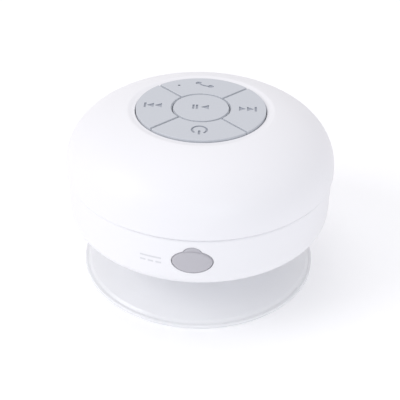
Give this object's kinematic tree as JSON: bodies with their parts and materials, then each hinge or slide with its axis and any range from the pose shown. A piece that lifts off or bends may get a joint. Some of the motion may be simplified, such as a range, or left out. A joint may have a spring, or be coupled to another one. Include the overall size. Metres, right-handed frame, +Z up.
{
  "type": "shower speaker",
  "caption": "Round waterproof speaker with a white domed housing, a grey key pad on top, a rubber charging plug in its side and a suction cup for a foot.",
  "frame": {"origin": "centre of the suction cup's rim, on the surface it stands on", "axes": "+Z up through the key pad, -Y out of the charging port, +X to the right seen from the port"},
  "size_m": [0.086, 0.086, 0.0569],
  "materials": {
    "white_shell": "satin, soft-touch coated ABS",
    "key_silicone": "matt grey silicone",
    "plug_rubber": "matt darker grey rubber",
    "cup_silicone": "milky translucent soft vinyl, smooth",
    "black_rubber": "matt",
    "plated_steel": "nickel-plated",
    "copper_winding": "enamelled copper wire",
    "ferrite": "matt sintered",
    "cone_paper": "pressed paper pulp",
    "woven_mesh": "fine woven cloth",
    "foam": "closed-cell foam",
    "circuit_board": "green solder mask on glass epoxy",
    "chip_plastic": "moulded epoxy",
    "battery_foil": "laminated foil pouch",
    "wire_jacket": "PVC insulation"
  },
  "bodies": {
    "housing": {"dome_shell": "white_shell", "base_shell": "white_shell", "seam_gasket": "black_rubber", "main_board": "circuit_board", "battery_pouch": "battery_foil", "battery_pad": "foam", "bluetooth_module": "chip_plastic", "amplifier_chip": "chip_plastic", "charger_chip": "chip_plastic", "filter_inductor": "chip_plastic", "microphone": "plated_steel", "play_switch": "plated_steel", "next_switch": "plated_steel", "call_switch": "plated_steel", "previous_switch": "plated_steel", "power_switch": "plated_steel", "board_screw_1": "plated_steel", "board_screw_2": "plated_steel", "board_screw_3": "plated_steel", "case_screw_1": "plated_steel", "case_screw_2": "plated_steel", "case_screw_3": "plated_steel", "driver_screw_1": "plated_steel", "driver_screw_2": "plated_steel", "driver_screw_3": "plated_steel", "charge_board": "circuit_board", "charge_board_screw_left": "plated_steel", "charge_board_screw_right": "plated_steel", "usb_socket": "plated_steel", "usb_tongue": "chip_plastic", "speaker_frame": "plated_steel", "speaker_top_plate": "plated_steel", "speaker_magnet": "ferrite", "speaker_yoke": "plated_steel", "speaker_gasket": "foam", "sound_membrane": "woven_mesh", "speaker_surround": "black_rubber", "speaker_spider": "woven_mesh", "battery_wires": "wire_jacket", "speaker_wires": "wire_jacket", "charge_wires": "wire_jacket"},
    "driver_cone": {"speaker_cone": "cone_paper", "dust_cap": "cone_paper", "voice_coil": "copper_winding"},
    "charging_plug": {"port_plug": "plug_rubber"},
    "suction_mount": {"suction_cup": "cup_silicone", "cup_washer": "plated_steel", "cup_screw": "plated_steel"},
    "play_button": {"play_key": "key_silicone", "play_switch_plunger": "chip_plastic"},
    "next_button": {"next_key": "key_silicone", "next_switch_plunger": "chip_plastic"},
    "call_button": {"call_key": "key_silicone", "call_switch_plunger": "chip_plastic"},
    "previous_button": {"previous_key": "key_silicone", "previous_switch_plunger": "chip_plastic"},
    "power_button": {"power_key": "key_silicone", "power_switch_plunger": "chip_plastic"}
  },
  "joints": [
    {"name": "play_press", "type": "slide", "parent": "housing", "child": "play_button", "axis": [0, 0, -1], "range_m": [0, 0.0005], "stiffness_N_per_m": 600},
    {"name": "next_press", "type": "slide", "parent": "housing", "child": "next_button", "axis": [0, 0, -1], "range_m": [0, 0.0005], "stiffness_N_per_m": 600},
    {"name": "call_press", "type": "slide", "parent": "housing", "child": "call_button", "axis": [0, 0, -1], "range_m": [0, 0.0005], "stiffness_N_per_m": 600},
    {"name": "previous_press", "type": "slide", "parent": "housing", "child": "previous_button", "axis": [0, 0, -1], "range_m": [0, 0.0005], "stiffness_N_per_m": 600},
    {"name": "power_press", "type": "slide", "parent": "housing", "child": "power_button", "axis": [0, 0, -1], "range_m": [0, 0.0005], "stiffness_N_per_m": 600},
    {"name": "plug_pull", "type": "slide", "parent": "housing", "child": "charging_plug", "axis": [0, -1, 0], "range_m": [0, 0.008]},
    {"name": "cup_turn", "type": "hinge", "parent": "housing", "child": "suction_mount", "pos_m": [0, 0, 0], "axis": [0, 0, 1], "continuous": true},
    {"name": "cone_travel", "type": "slide", "parent": "housing", "child": "driver_cone", "axis": [0, 0, 1], "range_m": [-0.0008, 0.0008], "stiffness_N_per_m": 1000, "deforming": ["speaker_surround", "speaker_spider"]}
  ]
}
